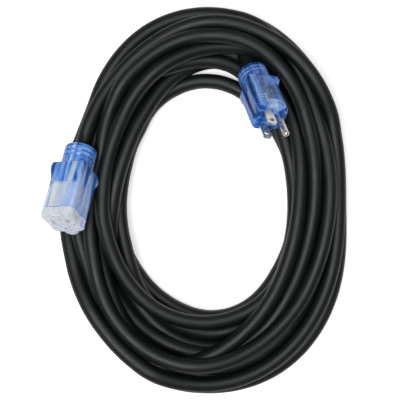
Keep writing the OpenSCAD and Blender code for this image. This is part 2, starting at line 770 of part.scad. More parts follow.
module connector_inner_mould() {
    color(clear) difference() {
        conn_core(0);
        translate([-30, -30, cover_z - fit_gap]) cube([60, 60, 60]);
        for (k = [0:2]) {
            pin = conn_pins()[k];
            conductor(conn_lay[k], pin, conn_strip_z, conn_jacket_z, conn_jacket_z - 1, fit_gap);
            strands(pin, conn_strip_z - eps, fit_gap);
            translate([pin[0], pin[1], conn_barrel_z - fit_gap])
                cylinder(d = barrel_d + 2 * fit_gap, h = barrel_len + 5);
        }
        // one pocket holds the lamp, its resistor and their leads
        translate([-conn_side / 4 - 1, lamp_y - 2.6, lead_z - 1])
            cube([conn_side / 2 + 2, 7, 20]);
    }
}

// ---------------------------------------------------------------- the nodes

cord_coil();
plug_lead();
connector_lead();
plug_pose() plug_overmould();
plug_pose() plug_inner_mould();
plug_pose() plug_strain_relief();
plug_pose() blade_carrier();
plug_pose() line_blade();
plug_pose() neutral_blade();
plug_pose() earth_pin();
plug_pose() plug_line_conductor();
plug_pose() plug_neutral_conductor();
plug_pose() plug_earth_conductor();
plug_pose() plug_copper_ends();
plug_pose() plug_jacket_end();
plug_pose() plug_fillers();
conn_pose() connector_overmould();
conn_pose() connector_face_cap();
conn_pose() contact_carrier();
conn_pose() carrier_cover();
conn_pose() line_contact();
conn_pose() neutral_contact();
conn_pose() earth_contact();
conn_pose() connector_inner_mould();
conn_pose() connector_strain_relief();
conn_pose() connector_line_conductor();
conn_pose() connector_neutral_conductor();
conn_pose() connector_earth_conductor();
conn_pose() connector_copper_ends();
conn_pose() connector_jacket_end();
conn_pose() connector_fillers();
conn_pose() lamp_bulb();
conn_pose() lamp_electrodes();
conn_pose() lamp_resistor();
conn_pose() lamp_leads();
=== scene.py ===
"""Looks of a coiled power cord with a moulded plug and connector."""

import json
import math

import bmesh
import bpy
import numpy as np
from mathutils import Matrix, Vector


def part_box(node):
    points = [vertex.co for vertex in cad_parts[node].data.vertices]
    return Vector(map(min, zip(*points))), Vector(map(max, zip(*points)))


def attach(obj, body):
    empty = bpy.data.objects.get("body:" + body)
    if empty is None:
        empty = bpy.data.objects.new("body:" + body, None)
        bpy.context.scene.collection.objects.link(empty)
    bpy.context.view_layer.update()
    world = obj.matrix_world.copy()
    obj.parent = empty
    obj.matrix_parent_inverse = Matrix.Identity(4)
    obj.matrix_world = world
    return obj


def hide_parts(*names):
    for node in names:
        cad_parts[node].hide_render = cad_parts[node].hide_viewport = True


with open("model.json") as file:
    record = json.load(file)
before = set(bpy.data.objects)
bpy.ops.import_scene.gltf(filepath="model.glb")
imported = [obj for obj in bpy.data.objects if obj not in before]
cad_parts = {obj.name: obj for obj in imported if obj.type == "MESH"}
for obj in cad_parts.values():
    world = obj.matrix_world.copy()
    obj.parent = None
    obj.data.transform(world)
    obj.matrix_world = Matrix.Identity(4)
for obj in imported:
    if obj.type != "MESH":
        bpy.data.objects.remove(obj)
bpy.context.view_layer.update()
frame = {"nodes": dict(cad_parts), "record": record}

bl_info = {
    "name": "Coiled power cord",
    "version": (1, 0, 0),
    "blender": (4, 5, 0),
    "location": "3D View > Sidebar > Power cord",
    "description": "A rubber power cord in an oval coil with clear blue ends",
    "category": "Add Mesh",
}

MM = 0.001
NODES = frame["nodes"]
COIL_LOW, COIL_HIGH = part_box("cord_coil")
COIL_X = (COIL_LOW.x + COIL_HIGH.x) / 2


# ------------------------------------------------------------------ settings


def millimetres(name, text, value):
    return bpy.props.FloatProperty(
        name=name, description=text, default=value * MM, unit="LENGTH"
    )


def tint(name, text, value):
    return bpy.props.FloatVectorProperty(
        name=name, description=text, default=value, size=3, subtype="COLOR", min=0, max=1
    )


def strength(name, text, value):
    return bpy.props.FloatProperty(name=name, description=text, default=value, min=0)


class CordSettings(bpy.types.PropertyGroup):
    diameter: millimetres("Diameter", "Outside diameter of the rubber jacket", 12)
    length: millimetres("Length", "Length of the whole cord", 7620)
    colour: tint("Rubber", "Colour of the jacket", (0.0028, 0.0044, 0.0048))


class PlugSettings(bpy.types.PropertyGroup):
    side: millimetres("Side", "Width of the square body", 25)
    front: millimetres("Front", "Length in front of the flange", 27)
    flange: millimetres("Flange", "Length of the grip flange", 9.5)
    collar: millimetres("Collar", "Length of the round collar", 15.5)
    collar_diameter: millimetres("Collar width", "Diameter of the collar", 24.5)
    reach: millimetres("Reach", "Reach of the flange's corners from the axis", 17.25)
    colour: tint("Vinyl", "Tint of the clear vinyl", (0.03, 0.2, 0.85))


class ConnectorSettings(bpy.types.PropertyGroup):
    side: millimetres("Side", "Width of the square body", 27)
    front: millimetres("Front", "Length in front of the flange", 37)
    flange: millimetres("Flange", "Length of the grip flange", 10)
    collar: millimetres("Collar", "Length of the round collar", 17)
    collar_diameter: millimetres("Collar width", "Diameter of the collar", 25.5)
    reach: millimetres("Reach", "Reach of the flange's corners from the axis", 19.75)
    colour: tint("Vinyl", "Tint of the clear vinyl", (0.09, 0.32, 0.98))


class StageSettings(bpy.types.PropertyGroup):
    camera_height: millimetres("Camera", "Height of the camera above the floor", 700)
    view: bpy.props.FloatProperty(
        name="View", description="Angle of view", default=math.radians(26.4), subtype="ANGLE"
    )
    floor: tint("Floor", "Colour of the floor", (0.9, 0.9, 0.9))
    ambient: strength("Ambient", "Level of the light from all round", 0.12)
    glow: strength("Glow", "What the floor adds to its own colour when seen", 0.45)


# ------------------------------------------------------------------ places

# [tilt of the nose, heading of the nose, turn about the axis], degrees
PLUG_LIE = (43, -73, -27)
CONNECTOR_LIE = (28, -100, -65)
# middle of each grip flange, from the coil's middle, in millimetres
PLUG_MIDDLE = (42, 84, 43)
CONNECTOR_MIDDLE = (-100.5, 19, 43)


def end_place(s, middle, lie):
    """From an end's own frame (mating face at z = 0, body back along -z) to the part's."""
    tilt, heading, roll = lie
    return (
        Matrix.Translation((COIL_X + middle[0] * MM, middle[1] * MM, middle[2] * MM))
        @ Matrix.Rotation(math.radians(heading), 4, "Z")
        @ Matrix.Rotation(math.radians(90 - tilt), 4, "Y")
        @ Matrix.Rotation(math.radians(roll), 4, "Z")
        @ Matrix.Translation((0, 0, s.front + s.flange / 2))
    )


def plug_place():
    return end_place(bpy.context.scene.power_plug, PLUG_MIDDLE, PLUG_LIE)


def connector_place():
    return end_place(bpy.context.scene.power_connector, CONNECTOR_MIDDLE, CONNECTOR_LIE)


# ------------------------------------------------------------------ the cord's route

# The plan is in perspective: its unit is PLAN_UNIT millimetres at MID_HEIGHT, and fewer
# higher up, as for an eye at EYE_HEIGHT.
PLAN_UNIT = 0.8
EYE_HEIGHT = 700.0
MID_HEIGHT = 18.0
# half-axes and middle of the oval on which the reach is 1, in units of the plan
OVAL = (143, 195)
OVAL_MIDDLE = (7, 1)
# One row for each turn, from the connector's end. A point is [angle, reach, height]: the
# angle round the oval falls, and the height is in millimetres.
TURNS = (
    ((132, 0.89, 24), (120, 0.865, 27), (110, 0.86, 29), (100, 0.865, 30), (90, 0.885, 30),
     (80, 0.9, 30), (70, 0.925, 29), (60, 0.945, 26), (50, 0.965, 23), (40, 0.97, 21),
     (20, 0.95, 19), (0, 0.915, 18), (-20, 0.945, 19), (-40, 0.96, 20), (-60, 0.955, 22),
     (-90, 0.955, 22), (-120, 0.967, 19), (-135, 0.975, 15), (-150, 0.99, 10), (-165, 1.0, 6),
     (-180, 0.985, 6)),
    ((160, 0.94, 9), (140, 0.945, 13), (120, 0.96, 17), (100, 0.95, 18), (90, 0.945, 18),
     (70, 0.93, 19), (50, 0.91, 24), (40, 0.9, 26), (30, 0.89, 28), (20, 0.87, 28), (0, 0.85, 28),
     (-20, 0.84, 28), (-40, 0.83, 29), (-70, 0.83, 30), (-90, 0.855, 30), (-110, 0.88, 29),
     (-130, 0.9, 28), (-150, 0.885, 25), (-165, 0.855, 20), (-180, 0.82, 16)),
    ((160, 0.82, 17), (145, 0.82, 24), (130, 0.82, 28), (110, 0.82, 27), (90, 0.825, 26),
     (75, 0.845, 26), (60, 0.86, 28), (50, 0.85, 30), (40, 0.835, 31), (30, 0.815, 31),
     (20, 0.78, 31), (0, 0.745, 29), (-10, 0.73, 27), (-40, 0.75, 20), (-65, 0.79, 18),
     (-90, 0.815, 18), (-120, 0.825, 15), (-135, 0.81, 8), (-150, 0.79, 6), (-165, 0.79, 6),
     (-180, 0.79, 6)),
    ((150, 0.81, 6), (120, 0.79, 8), (90, 0.78, 12), (75, 0.77, 14), (60, 0.75, 16),
     (50, 0.735, 17), (40, 0.73, 19), (30, 0.715, 22), (20, 0.68, 26), (0, 0.645, 28),
     (-30, 0.645, 30), (-50, 0.685, 31), (-70, 0.735, 29), (-80, 0.77, 25), (-88, 0.81, 20),
     (-97, 0.86, 17), (-110, 0.9, 17), (-130, 0.93, 17), (-150, 0.94, 16), (-165, 0.93, 16),
     (-180, 0.91, 14)),
    ((165, 0.89, 8), (150, 0.9, 6), (120, 0.95, 6), (90, 0.947, 6), (60, 0.965, 7),
     (40, 0.967, 7), (20, 0.945, 6), (0, 0.915, 6), (-15, 0.96, 6), (-30, 1.0, 6),
     (-50, 1.005, 6), (-70, 0.99, 6), (-90, 0.955, 6), (-120, 0.965, 6), (-150, 0.94, 6),
     (-165, 0.92, 7), (-180, 0.88, 12)),
    ((165, 0.88, 14), (150, 0.85, 16), (140, 0.83, 16), (130, 0.79, 17), (110, 0.72, 20),
     (90, 0.705, 20), (75, 0.7, 17), (65, 0.685, 16), (50, 0.665, 16), (40, 0.65, 16),
     (20, 0.64, 16), (0, 0.615, 17), (-30, 0.63, 16), (-50, 0.645, 17), (-60, 0.635, 20),
     (-90, 0.635, 24), (-100, 0.645, 26), (-120, 0.675, 29), (-140, 0.7, 31), (-160, 0.71, 31),
     (-180, 0.705, 30)),
    ((165, 0.71, 30), (150, 0.74, 32), (140, 0.745, 31), (120, 0.775, 28), (100, 0.785, 26),
     (80, 0.79, 22), (60, 0.82, 17), (40, 0.8, 16), (20, 0.78, 16), (0, 0.805, 17),
     (-30, 0.86, 16), (-60, 0.88, 16), (-90, 0.88, 16), (-120, 0.88, 16), (-135, 0.85, 17),
     (-150, 0.79, 18), (-165, 0.74, 17), (-180, 0.7, 16)),
    ((150, 0.7, 16), (120, 0.79, 17), (90, 0.86, 17), (60, 0.86, 7), (30, 0.86, 6), (0, 0.814, 6),
     (-30, 0.87, 6), (-60, 0.9, 6), (-90, 0.877, 6), (-120, 0.88, 6), (-150, 0.87, 6),
     (-165, 0.86, 8), (-180, 0.82, 15)),
    ((170, 0.77, 17), (160, 0.73, 14), (150, 0.7, 7), (120, 0.72, 6), (90, 0.79, 6),
     (60, 0.78, 6), (30, 0.76, 6), (0, 0.713, 6), (-30, 0.76, 6), (-60, 0.79, 6), (-90, 0.77, 6),
     (-120, 0.765, 6), (-150, 0.71, 7), (-165, 0.68, 16), (-180, 0.66, 24)),
    ((150, 0.64, 26), (120, 0.66, 16), (90, 0.71, 6), (60, 0.7, 6), (30, 0.715, 10), (0, 0.7, 17),
     (-30, 0.71, 14), (-60, 0.71, 8), (-90, 0.7, 6), (-120, 0.7, 6), (-150, 0.67, 8),
     (-180, 0.62, 16)),
    ((150, 0.62, 16), (130, 0.64, 6), (110, 0.63, 6), (90, 0.62, 6), (70, 0.62, 6), (50, 0.62, 6),
     (20, 0.62, 6), (0, 0.612, 6), (-20, 0.63, 6), (-45, 0.657, 6), (-90, 0.624, 6),
     (-140, 0.635, 6), (-180, 0.612, 6)),
    ((165, 0.62, 7), (145, 0.68, 10), (128, 0.77, 13), (114, 0.84, 15), (103, 0.87, 15.5)),
)
# [x, y, height] of points outside the coil, in millimetres from its middle
PLUG_LEAD = ((-9, 137, 15.5), (4, 136, 14), (16, 131, 13), (25, 123, 13.5), (31.5, 114, 16.5),
             (35.5, 105.5, 22))
CONNECTOR_LEAD = ((-95, 51, 26), (-91, 66, 22), (-83, 81, 21), (-72.5, 95, 23))
# [angle, reach] of the middle of the outermost and of the innermost turn
OUTER_EDGE = ((0, 0.915), (20, 0.945), (40, 0.967), (60, 0.967), (90, 0.947), (120, 0.965),
              (135, 0.96), (150, 0.913), (160, 0.915), (170, 0.965), (180, 0.985), (200, 0.985),
              (210, 0.988), (240, 0.975), (270, 0.957), (285, 0.97), (300, 0.998), (320, 1.01),
              (340, 0.985), (350, 0.935), (360, 0.915))
INNER_EDGE = ((0, 0.612), (30, 0.622), (60, 0.69), (72, 0.715), (90, 0.71), (102, 0.69),
              (115, 0.65), (130, 0.633), (150, 0.615), (162, 0.598), (180, 0.612), (210, 0.635),
              (240, 0.63), (270, 0.624), (290, 0.636), (320, 0.657), (340, 0.63), (360, 0.612))
# Between these angles along the coil, a turn may lie further in, down to LOOSE_EDGE.
LOOSE_TURN = (3450, 3790)
LOOSE_EDGE = 0.6
# spacing of the route's points, in millimetres
STEP = 8.0
# z of the cord's points on each end's own axis, in the cord's direction
CONNECTOR_AXIS = (-58, -64, -70)
PLUG_AXIS = (-56, -52, -46)

# While the cord settles, a rod stands for each end: z of its rear, then shares of the way
# from there to the mating face, and the radii at them. The sideways part of its push is
# cut down to ROD_SIDEWAYS.
CONNECTOR_ROD = (-64, (0, 0.26, 0.28, 0.42, 0.44, 1), (12, 12, 16, 16, 13, 13))
PLUG_ROD = (-52, (0, 0.29, 0.31, 0.48, 0.5, 1), (12, 12, 15, 15, 12.5, 12.5))
ROD_SIDEWAYS = 0.6
# points at the cord's start and end that the rods leave alone, and those that never move
INSIDE_ENDS = (10, 9)
HELD = 3
# pull towards the plan: the part that fades as the rounds go by, and the part that stays
GRIP = (0.16, 0.025)
HEIGHT_GRIP = 0.4
EDGE_GRIP = 0.5
LEAD_GRIP = 0.1
# millimetres that the coil sinks in each round
SINK = 0.04
# rows of [points from one to the next, gain]
STIFFNESS = ((1, 0.06), (2, 0.03), (4, 0.008))
SPACING_GAIN = 0.5
# Strands part until they are CLEARANCE apart. Pairs of points less than PAIR_MARGIN from
# touching are listed again every PAIR_ROUNDS; the next PAIR_SKIP points make no pair.
CLEARANCE = 0.1
PARTING_GAIN = 1.3
PAIR_MARGIN = 7
PAIR_ROUNDS = 8
PAIR_SKIP = 3
# points that are compared with all the others at a time
BLOCK = 256
# keeps a length that is divided by from being nought
TINY = 1e-9
# rounds of settling
ROUNDS = 900
# one point of the curve for so many of the route
CURVE_EVERY = 2


def through(x, y, at):
    """Smooth curve through the points (x, y), with no overshoot between them."""
    h = np.diff(x)
    d = np.diff(y) / h
    m = np.zeros(len(x))
    same_way = d[:-1] * d[1:] > 0
    w1 = (2 * h[1:] + h[:-1])[same_way]
    w2 = (h[1:] + 2 * h[:-1])[same_way]
    m[1:-1][same_way] = (w1 + w2) / (w1 / d[:-1][same_way] + w2 / d[1:][same_way])
    m[0], m[-1] = d[0], d[-1]
    i = np.clip(np.searchsorted(x, at) - 1, 0, len(h) - 1)
    s = (at - x[i]) / h[i]
    return (
        y[i] * (1 + 2 * s) * (1 - s) ** 2 + m[i] * h[i] * s * (1 - s) ** 2
        + y[i + 1] * s * s * (3 - 2 * s) + m[i + 1] * h[i] * s * s * (s - 1)
    )


def even(points, step):
    """The same line with its points a step apart."""
    seg = np.linalg.norm(np.diff(points, axis=0), axis=1)
    run = np.concatenate([[0], np.cumsum(seg)])
    n = max(2, int(round(run[-1] / step)))
    at = np.linspace(0, run[-1], n + 1)
    return np.stack([np.interp(at, run, points[:, k]) for k in range(points.shape[1])], 1)


def planned_turns():
    """Angle, reach and height along the coil, a step apart."""
    points = np.array([(360.0 * k - angle, out, height)
                       for k, row in enumerate(TURNS) for angle, out, height in row])
    fine = np.arange(points[0, 0], points[-1, 0], 1.0)
    out = through(points[:, 0], points[:, 1], fine)
    height = through(points[:, 0], points[:, 2], fine)
    a = np.radians(fine)
    flat = PLAN_UNIT * np.stack([OVAL[0] * out * np.cos(a), OVAL[1] * out * np.sin(a)], 1)
    run = np.concatenate([[0], np.cumsum(np.linalg.norm(np.diff(flat, axis=0), axis=1))])
    at = np.linspace(0, run[-1], int(run[-1] / STEP) + 1)
    return [np.interp(at, run, row) for row in (fine, out, height)]


def edge_reaches(turn):
    """Least and greatest reach of the cord at each angle."""
    angle = (-turn) % 360
    outer = through(*np.array(OUTER_EDGE, float).T, angle)
    inner = through(*np.array(INNER_EDGE, float).T, angle)
    inner[(turn > LOOSE_TURN[0]) & (turn < LOOSE_TURN[1])] = LOOSE_EDGE
    return inner, outer


def plan_scale(height):
    """Millimetres in one unit of the plan at this height."""
    return PLAN_UNIT * (EYE_HEIGHT - height) / (EYE_HEIGHT - MID_HEIGHT)


def on_oval(turn, out, height):
    """Place of a point of the plan, [x, y] from the middle of the floor, in millimetres."""
    a = np.radians(turn)
    scale = plan_scale(height)
    return np.stack(
        [(OVAL_MIDDLE[0] + OVAL[0] * out * np.cos(a)) * scale,
         (OVAL_MIDDLE[1] - OVAL[1] * out * np.sin(a)) * scale], 1
    )


def measured_reach(p):
    """Reach of points, read back from where they are."""
    scale = plan_scale(p[:, 2])
    x = p[:, 0] / scale - OVAL_MIDDLE[0]
    y = p[:, 1] / scale - OVAL_MIDDLE[1]
    return np.hypot(x / OVAL[0], y / OVAL[1])


def on_axis(place, z):
    """Point of an end's own axis in the part's frame, both in millimetres."""
    return np.array(place @ Vector((0, 0, z * MM))) / MM


def leads(connector, plug):
    """The cord's points from the connector to the coil, and from there to the plug."""
    shift = np.array([COIL_X / MM, 0, 0])
    head = [on_axis(connector, z) for z in CONNECTOR_AXIS]
    head += [shift + np.array(q, float) for q in CONNECTOR_LEAD]
    tail = [shift + np.array(q, float) for q in PLUG_LEAD]
    tail += [on_axis(plug, z) for z in PLUG_AXIS]
    return even(np.array(head), STEP), even(np.array(tail), STEP)


def rod(place, rear, shares, radii):
    """Rod on an end's axis, as its two points and its radius along them."""
    return on_axis(place, rear), on_axis(place, 0), (shares, radii)


def rod_push(p, low, high, radius, keep):
    """How points move out of a round rod from low to high, radius given along it."""
    axis = high - low
    along = np.clip(((p - low) @ axis) / (axis @ axis), 0, 1)
    nearest = low + along[:, None] * axis
    away = p - nearest
    dist = np.linalg.norm(away, axis=1) + TINY
    wall = np.interp(along, radius[0], radius[1]) + keep
    push = np.clip(wall - dist, 0, None)
    return away / dist[:, None] * push[:, None]


def neighbours(p, reach):
    """Pairs of points nearer to each other than reach, apart from those next to each other."""
    near = []
    for s in range(0, len(p), BLOCK):
        block = p[s:s + BLOCK]
        d2 = ((block[:, None, :] - p[None]) ** 2).sum(2)
        i, j = np.nonzero(d2 < reach ** 2)
        i = i + s
        ok = j - i > PAIR_SKIP
        near.append(np.stack([i[ok], j[ok]]))
    return np.concatenate(near, 1)


def pull_to_plan(q, grip, plan, inner, outer):
    """Moves the coil's points towards the plan and its edges, and lets them sink."""
    turn, out, height = plan
    q[:, :2] += grip * (on_oval(turn, out, q[:, 2]) - q[:, :2])
    q[:, 2] += HEIGHT_GRIP * grip * (height - q[:, 2]) - SINK
    reach = measured_reach(q)
    wanted = np.clip(reach, inner, outer)
    middle = PLAN_UNIT * np.array(OVAL_MIDDLE)
    q[:, :2] += EDGE_GRIP * ((q[:, :2] - middle) * (wanted / reach - 1)[:, None])


def straighten(p):
    """Moves the points towards a line that bends less sharply."""
    for reach, gain in STIFFNESS:
        n = len(p) - 4 * reach
        row = [p[m * reach:m * reach + n] for m in range(5)]
        bend = row[0] - 4 * row[1] + 6 * row[2] - 4 * row[3] + row[4]
        p[2 * reach:-2 * reach] -= gain * bend


def space_out(p):
    """Slides each point along the line towards the middle between its neighbours."""
    along = p[2:] - p[:-2]
    along /= np.linalg.norm(along, axis=1)[:, None]
    slip = (p[2:] + p[:-2]) / 2 - p[1:-1]
    p[1:-1] += SPACING_GAIN * (slip * along).sum(1)[:, None] * along


def push_apart(p, pairs, thick):
    """Moves points whose strands overlap away from each other."""
    i, j = pairs
    gap = p[i] - p[j]
    dist = np.linalg.norm(gap, axis=1) + TINY
    over = np.clip(thick + CLEARANCE - dist, 0, None)
    move = gap / dist[:, None] * (over * 0.5)[:, None]
    hit = over > 0
    total = np.zeros_like(p)
    count = np.zeros(len(p))
    for at, way in ((i[hit], 1), (j[hit], -1)):
        np.add.at(total, at, way * move[hit])
        np.add.at(count, at, 1)
    p += total / np.clip(count, 1, None)[:, None] * PARTING_GAIN


def settled_route(rounds, thick):
    """Centre line of the whole cord from the connector's end to the plug's, in millimetres."""
    turn, out, height = planned_turns()
    inner, outer = edge_reaches(turn)
    out = np.clip(out, inner, outer)
    connector, plug = connector_place(), plug_place()
    head, tail = leads(connector, plug)
    coil = np.column_stack([on_oval(turn, out, height), height])
    p = np.concatenate([head, coil, tail])
    home = p.copy()
    coiled = np.zeros(len(p), bool)
    coiled[len(head):len(head) + len(coil)] = True
    rods = (rod(connector, *CONNECTOR_ROD), rod(plug, *PLUG_ROD))
    pushed = np.ones(len(p))
    pushed[:INSIDE_ENDS[0]] = pushed[-INSIDE_ENDS[1]:] = 0
    for k in range(rounds):
        q = p[coiled]
        grip = GRIP[0] * (1 - k / rounds) + GRIP[1]
        pull_to_plan(q, grip, (turn, out, height), inner, outer)
        p[coiled] = q
        p[~coiled] += LEAD_GRIP * (home[~coiled] - p[~coiled])
        straighten(p)
        space_out(p)
        if k % PAIR_ROUNDS == 0:
            pairs = neighbours(p, thick + PAIR_MARGIN)
        push_apart(p, pairs, thick)
        for low, high, radius in rods:
            push = rod_push(p, low, high, radius, thick / 2)
            push[:, :2] *= ROD_SIDEWAYS
            p += push * pushed[:, None]
        p[:, 2] = np.maximum(p[:, 2], thick / 2)
        p[:HELD], p[-HELD:] = home[:HELD], home[-HELD:]
    return p


# ------------------------------------------------------------------ materials

# the range that most values of a noise lie in
NOISE_RANGE = (0.3, 0.7)
# places of a dark and a light tone along such values
TONE_STOPS = (0.35, 0.65)


def material(name, build, **sockets):
    """Material with these values on its shader's sockets, and the rest from build."""
    m = bpy.data.materials.new(name)
    m.use_nodes = True
    tree = m.node_tree
    shader = tree.nodes["Principled BSDF"]
    for key, value in sockets.items():
        shader.inputs[key.replace("_", " ")].default_value = value
    build(tree, shader)
    return m


def shade(colour, k):
    return tuple(c * k for c in colour)


def mixed(first, second, share):
    """The first colour with this share of the second."""
    return tuple((1 - share) * a + share * b for a, b in zip(first, second))


def calculated(tree, operation, *values, kind="ShaderNodeMath", output=0):
    """Output of a Math node whose values are sockets or numbers."""
    node = tree.nodes.new(kind)
    node.operation = operation
    for socket, value in zip(node.inputs, values):
        if isinstance(value, bpy.types.NodeSocket):
            tree.links.new(value, socket)
        else:
            socket.default_value = value
    return node.outputs[output]


def total_of(tree, total, *values):
    for value in values:
        total = calculated(tree, "ADD", total, value)
    return total


def product(tree, total, *values):
    for value in values:
        total = calculated(tree, "MULTIPLY", total, value)
    return total


def ranged(tree, value, source, target, curve="LINEAR"):
    """The value moved from the source range to the target range, and kept in it."""
    node = tree.nodes.new("ShaderNodeMapRange")
    node.interpolation_type = curve
    for key, number in zip(("From Min", "From Max", "To Min", "To Max"), (*source, *target)):
        node.inputs[key].default_value = number
    tree.links.new(value, node.inputs["Value"])
    return node.outputs["Result"]


def eased(tree, value, source, target):
    return ranged(tree, value, source, target, "SMOOTHSTEP")


def spread(tree, cloud, target):
    """A noise's usual values spread over the target range."""
    return ranged(tree, cloud, NOISE_RANGE, target)


def noise(tree, scale, detail, rough=0.6, vector=None):
    """Value of a noise at the object's own points, or at the points of a vector."""
    cloud = tree.nodes.new("ShaderNodeTexNoise")
    cloud.inputs["Scale"].default_value = scale
    cloud.inputs["Detail"].default_value = detail
    cloud.inputs["Roughness"].default_value = rough
    if vector is None:
        vector = tree.nodes.new("ShaderNodeTexCoord").outputs["Object"]
    tree.links.new(vector, cloud.inputs["Vector"])
    return cloud.outputs["Fac"]


def bump(tree, shader, height, strength, depth):
    node = tree.nodes.new("ShaderNodeBump")
    node.inputs["Strength"].default_value = strength
    node.inputs["Distance"].default_value = depth
    tree.links.new(height, node.inputs["Height"])
    tree.links.new(node.outputs["Normal"], shader.inputs["Normal"])


def uneven_gloss(tree, shader, cloud, target):
    """Roughness over the target range, by a noise."""
    tree.links.new(spread(tree, cloud, target), shader.inputs["Roughness"])


def tones(tree, shader, value, stops):
    """Base colour from stops of [position, colour] along a value, its two ends first."""
    ramp = tree.nodes.new("ShaderNodeValToRGB")
    row = ramp.color_ramp.elements
    for number, (position, colour) in enumerate(stops):
        stop = row[number] if number < 2 else row.new(position)
        stop.position = position
        stop.color = (*colour, 1)
    tree.links.new(value, ramp.inputs["Fac"])
    tree.links.new(ramp.outputs["Color"], shader.inputs["Base Color"])


def two_tones(tree, shader, value, dark, light):
    tones(tree, shader, value, zip(TONE_STOPS, (dark, light)))


def in_frame(tree, place):
    """A point's place in the frame of a moulded end, as a vector and as its parts."""
    back = place.inverted()
    where = tree.nodes.new("ShaderNodeTexCoord")
    turned = tree.nodes.new("ShaderNodeMapping")
    turned.inputs["Location"].default_value = back.translation
    turned.inputs["Rotation"].default_value = back.to_euler("XYZ")
    parts = tree.nodes.new("ShaderNodeSeparateXYZ")
    tree.links.new(where.outputs["Object"], turned.inputs["Vector"])
    tree.links.new(turned.outputs["Vector"], parts.inputs["Vector"])
    return turned.outputs["Vector"], parts.outputs


def by_zone(tree, shader, key, zone, ends):
    """Value outside the zone and in it, set on the shader's own socket if they are the same."""
    if ends[0] == ends[1]:
        shader.inputs[key].default_value = ends[0]
    else:
        tree.links.new(eased(tree, zone, (0, 1), ends), shader.inputs[key])


def soft_box(tree, at, ranges, soft):
    """1 inside the ranges of x, y and z, in millimetres, and 0 outside, with soft edges."""
    walls = []
    for axis, (low, high) in zip("XYZ", ranges):
        walls.append(eased(tree, at[axis], ((low - soft) * MM, (low + soft) * MM), (0, 1)))
        walls.append(eased(tree, at[axis], ((high + soft) * MM, (high - soft) * MM), (0, 1)))
    return product(tree, *walls)


def bands(tree, value, crest, pitch, size):
    """Even bands across the value: a cosine of this size with a crest here, in millimetres."""
    turns = 2 * math.pi / pitch
    phase = calculated(tree, "MULTIPLY_ADD", value, turns / MM, -turns * crest)
    return calculated(tree, "MULTIPLY", calculated(tree, "COSINE", phase), size)


def grained(name, colour, grain, dark, gloss, relief, **sockets):
    """Material whose tone, gloss and relief follow one noise.

    grain is the noise's scale and detail, dark the share of the colour that its darker tone
    keeps, gloss the range of roughness, and relief the strength and depth of the bumps."""

    def build(tree, shader):
        cloud = noise(tree, *grain)
        two_tones(tree, shader, cloud, shade(colour, dark), colour)
        uneven_gloss(tree, shader, cloud, gloss)
        bump(tree, shader, cloud, *relief)

    return material(name, build, **sockets)


def vinyl(name, colour, rough, transmission=0.9):
    return grained(
        name, colour, grain=(90, 2), dark=0.94, gloss=(rough * 0.7, rough * 1.4),
        relief=(0.12, 0.0006), Transmission_Weight=transmission, IOR=1.45, Coat_Weight=0.8,
    )


def plated(name, colour):
    return grained(
        name, colour, grain=(500, 4), dark=0.86, gloss=(0.196, 0.42), relief=(0.1, 0.0001),
        Metallic=1.0,
    )


def moulded(name, colour, rough=0.4):
    return grained(
        name, colour, grain=(300, 3), dark=0.93, gloss=(rough * 0.85, rough * 1.2),
        relief=(0.08, 0.0001),
    )


def rubber(name):
    """Matt rubber: broad changes of tone and gloss, and a fine grain."""
    colour = tuple(bpy.context.scene.power_cord.colour)

    def build(tree, shader):
        wide = noise(tree, scale=60, detail=3)
        two_tones(tree, shader, wide, dark=shade(colour, 0.86), light=shade(colour, 1.18))
        uneven_gloss(tree, shader, wide, (0.44, 0.54))
        bump(tree, shader, noise(tree, scale=2600, detail=3), strength=0.25, depth=0.0002)

    return material(name, build, Specular_IOR_Level=0.4)


# share of the colour in the darkest streaks (painted shade), and of the pale tone in those
# midway and in the lightest (painted glints), which are otherwise the colour and white
DARKEST_PAINTED_SHADE = 0.3
PALE_MIDWAY = 0.4
PALE_IN_PAINTED_GLINTS = 0.55
# scale of the streaks' noise along x, y and z of an end's own frame
LONG_STREAKS = (220, 220, 20)
# how far up its tones the vinyl goes in the pale box
THIN_LIFT = 0.35
# millimetres over which the edge of a banded box fades
BAND_EDGE = 0.5


def moulded_end(name, colour, pale, place, box, soft, streak, clear, cover,
                ringed=(), grain=LONG_STREAKS):
    """Tinted vinyl with long streaks of painted highlight and painted shade, paler in a
    soft-edged box of the end's own frame.

    streak is the range of the streaks' tones. clear and cover are the transmission and the
    alpha outside the box and in it. Each row of ringed gives a box and the crest, pitch and
    size of its bands along z. Lengths are in millimetres."""

    def build(tree, shader):
        spot, at = in_frame(tree, place)
        thin = soft_box(tree, at, box, soft)
        stretched = calculated(tree, "MULTIPLY", spot, grain, kind="ShaderNodeVectorMath")
        # the streaks are painted light and shade: their lightest tones are painted glints, their
        # darkest painted shade
        streaks = noise(tree, scale=1, detail=2, rough=0.5, vector=stretched)
        # bands on a collar are painted highlights; those over the plug's carrier stand for its
        # ribs seen through
        rings = [product(tree, soft_box(tree, at, zone, BAND_EDGE), bands(tree, at["Z"], *wave))
                 for zone, wave in ringed]
        level = total_of(tree, spread(tree, streaks, streak),
                         eased(tree, thin, (0, 1), (0, THIN_LIFT)), *rings)
        tones(tree, shader, level, (
            (0.0, shade(colour, DARKEST_PAINTED_SHADE)), (1.0, mixed((1, 1, 1), pale, PALE_IN_PAINTED_GLINTS)),
            (0.25, colour), (0.5, mixed(colour, pale, PALE_MIDWAY)), (0.75, pale),
        ))
        by_zone(tree, shader, "Transmission Weight", thin, clear)
        by_zone(tree, shader, "Alpha", thin, cover)
        uneven_gloss(tree, shader, noise(tree, scale=90, detail=2), (0.05, 0.1))
        bump(tree, shader, streaks, strength=0.14, depth=0.0006)

    return material(name, build, IOR=1.45, Coat_Weight=0.3, Coat_Roughness=0.03,
                    Specular_IOR_Level=0.25)


